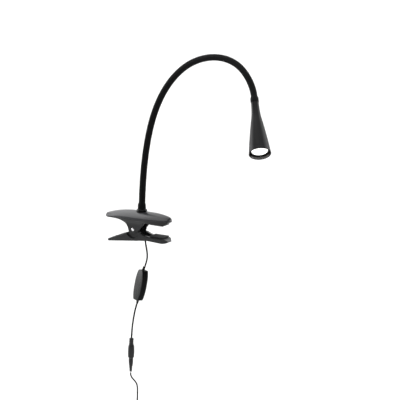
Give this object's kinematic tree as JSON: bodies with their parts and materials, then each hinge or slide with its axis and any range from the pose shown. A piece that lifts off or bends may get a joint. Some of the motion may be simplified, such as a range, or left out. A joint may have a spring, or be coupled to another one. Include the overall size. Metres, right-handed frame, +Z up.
{
  "type": "clip-on reading lamp",
  "caption": "Reading lamp with a spring clip, a bendable gooseneck arm, a trumpet-shaped LED head and a low-voltage lead with an in-line switch and plug-in adapter.",
  "frame": {"origin": "centre of the upper jaw pad's face, where the clip rests on top of the board it holds", "axes": "+Z up; +X along the clip from the handles to the jaw tip; +Y across the clip"},
  "size_m": [0.4111, 0.1426, 0.8039],
  "materials": {
    "cover": "satin",
    "body": "satin",
    "collar": "gloss",
    "arm": "matte",
    "pad": "matte",
    "steel": "polished",
    "shade": "satin",
    "lens": "satin",
    "reflector": "polished",
    "board": "matte",
    "aluminium": "satin",
    "cord_rubber": "matte",
    "switch_case": "satin",
    "tie": "matte",
    "adapter": "satin"
  },
  "bodies": {
    "clip": {"top_cover": "cover", "upper_jaw_body": "body", "pivot_pin": "steel", "torsion_spring": "steel", "upper_jaw_pad": "pad", "base_collar": "collar", "arm_base_boot": "arm", "arm_base_fitting": "steel", "arm_lock_nut": "steel", "cover_screw_back": "steel", "cover_screw_front": "steel", "cord_gland": "cord_rubber", "base_lead": "cord_rubber", "cord_upper": "cord_rubber", "cord_lower": "cord_rubber", "switch_front_shell": "switch_case", "switch_back_shell": "switch_case", "switch_contact": "steel", "switch_relief_top": "cord_rubber", "switch_relief_bottom": "cord_rubber", "socket_relief": "cord_rubber", "socket_housing": "switch_case", "socket_pin": "steel"},
    "lever": {"lower_lever": "body", "lower_jaw_pad": "pad"},
    "button": {"switch_button": "switch_case"},
    "plug": {"plug_barrel": "steel", "plug_grip": "switch_case", "adapter_cord": "cord_rubber", "adapter_cord_hank": "cord_rubber", "cord_tie": "tie", "adapter_cord_tail": "cord_rubber", "adapter_relief": "cord_rubber", "adapter_case": "adapter", "adapter_face": "adapter", "adapter_pin_left": "steel", "adapter_pin_right": "steel"},
    "arm_01": {"arm_link_01": "arm"},
    "arm_02": {"arm_link_02": "arm"},
    "arm_03": {"arm_link_03": "arm"},
    "arm_04": {"arm_link_04": "arm"},
    "arm_05": {"arm_link_05": "arm"},
    "arm_06": {"arm_link_06": "arm"},
    "arm_07": {"arm_link_07": "arm"},
    "arm_08": {"arm_link_08": "arm"},
    "arm_09": {"arm_link_09": "arm"},
    "arm_10": {"arm_link_10": "arm"},
    "arm_11": {"arm_link_11": "arm"},
    "arm_12": {"arm_link_12": "arm"},
    "arm_13": {"arm_link_13": "arm"},
    "head": {"arm_end_sleeve": "arm", "shade": "shade", "bezel_ring": "collar", "lens": "lens", "reflector": "reflector", "led_board": "board", "led_chip": "lens", "heat_sink": "aluminium", "head_lead": "cord_rubber"}
  },
  "joints": [
    {"name": "clip_lever", "type": "hinge", "parent": "clip", "child": "lever", "pos_m": [-0.048, 0, -0.0125], "axis": [0, 1, 0], "range_deg": [-18, 27], "stiffness_Nm_per_rad": 0.6, "springref_deg": -85.94, "deforming": ["torsion_spring"]},
    {"name": "switch_button_press", "type": "slide", "parent": "clip", "child": "button", "axis": [-0.2722, -0.9511, 0.146], "range_m": [0, 0.0012], "stiffness_N_per_m": 800, "springref_m": -0.001},
    {"name": "plug_pull", "type": "slide", "parent": "clip", "child": "plug", "axis": [-0.02, -0.013, -0.9997], "range_m": [0, 0.02]},
    {"name": "arm_lower_bend", "type": "hinge", "parent": "clip", "child": "arm_01", "pos_m": [-0.03686, 0, 0.03499], "axis": [0, 1, -0.0001], "range_deg": [-14, 14]},
    {"name": "arm_lower_side", "type": "hinge", "parent": "arm_01", "child": "arm_02", "pos_m": [-0.03495, 0, 0.07254], "axis": [0.9975, 0, -0.0704], "range_deg": [-18, 18]},
    {"name": "arm_lower_bend_2", "type": "hinge", "parent": "arm_02", "child": "arm_03", "pos_m": [-0.03131, -0.00002, 0.10995], "axis": [0.0001, 1, 0.0006], "range_deg": [-14, 14]},
    {"name": "arm_lower_bend_3", "type": "hinge", "parent": "arm_03", "child": "arm_04", "pos_m": [-0.02543, 0.00001, 0.14707], "axis": [-0.0005, 1, -0.0025], "range_deg": [-14, 14]},
    {"name": "arm_lower_side_2", "type": "hinge", "parent": "arm_04", "child": "arm_05", "pos_m": [-0.01672, 0.00009, 0.18362], "axis": [0.9594, 0, -0.2822], "range_deg": [-18, 18]},
    {"name": "arm_lower_bend_4", "type": "hinge", "parent": "arm_05", "child": "arm_06", "pos_m": [-0.00372, -0.00024, 0.21886], "axis": [0.0066, 0.9999, 0.0145], "range_deg": [-14, 14]},
    {"name": "arm_upper_bend", "type": "hinge", "parent": "arm_06", "child": "arm_07", "pos_m": [0.01453, -0.00092, 0.25167], "axis": [0.0266, 0.9996, 0.0032], "range_deg": [-21, 9]},
    {"name": "arm_upper_side", "type": "hinge", "parent": "arm_07", "child": "arm_08", "pos_m": [0.03829, -0.00155, 0.28071], "axis": [0.7023, -0.0781, -0.7076], "range_deg": [-20, 20]},
    {"name": "arm_upper_bend_2", "type": "hinge", "parent": "arm_08", "child": "arm_09", "pos_m": [0.06776, -0.0029, 0.30387], "axis": [0.1024, 0.9922, -0.0706], "range_deg": [-21, 9]},
    {"name": "arm_upper_bend_3", "type": "hinge", "parent": "arm_09", "child": "arm_10", "pos_m": [0.10203, -0.00535, 0.31883], "axis": [0.1107, 0.9883, -0.1049], "range_deg": [-21, 9]},
    {"name": "arm_upper_side_2", "type": "hinge", "parent": "arm_10", "child": "arm_11", "pos_m": [0.13896, -0.00892, 0.32405], "axis": [-0.0339, -0.2348, -0.9715], "range_deg": [-20, 20]},
    {"name": "arm_upper_bend_4", "type": "hinge", "parent": "arm_11", "child": "arm_12", "pos_m": [0.17514, -0.0153, 0.31727], "axis": [0.1004, 0.9364, -0.3363], "range_deg": [-21, 9]},
    {"name": "arm_upper_bend_5", "type": "hinge", "parent": "arm_12", "child": "arm_13", "pos_m": [0.20538, -0.0257, 0.29795], "axis": [-0.0465, 0.8756, -0.4807], "range_deg": [-21, 9]},
    {"name": "arm_tip_bend", "type": "hinge", "parent": "arm_13", "child": "head", "pos_m": [0.2268, -0.04, 0.2708], "axis": [-0.2132, 0.7355, -0.6431], "range_deg": [-20, 20]}
  ],
  "couplings": [
    {"joint": "arm_lower_bend_2", "follows": "arm_lower_bend", "ratio": 1},
    {"joint": "arm_lower_bend_3", "follows": "arm_lower_bend", "ratio": 1},
    {"joint": "arm_lower_side_2", "follows": "arm_lower_side", "ratio": 1},
    {"joint": "arm_lower_bend_4", "follows": "arm_lower_bend", "ratio": 1},
    {"joint": "arm_upper_bend_2", "follows": "arm_upper_bend", "ratio": 1},
    {"joint": "arm_upper_bend_3", "follows": "arm_upper_bend", "ratio": 1},
    {"joint": "arm_upper_side_2", "follows": "arm_upper_side", "ratio": 1},
    {"joint": "arm_upper_bend_4", "follows": "arm_upper_bend", "ratio": 1},
    {"joint": "arm_upper_bend_5", "follows": "arm_upper_bend", "ratio": 1}
  ]
}
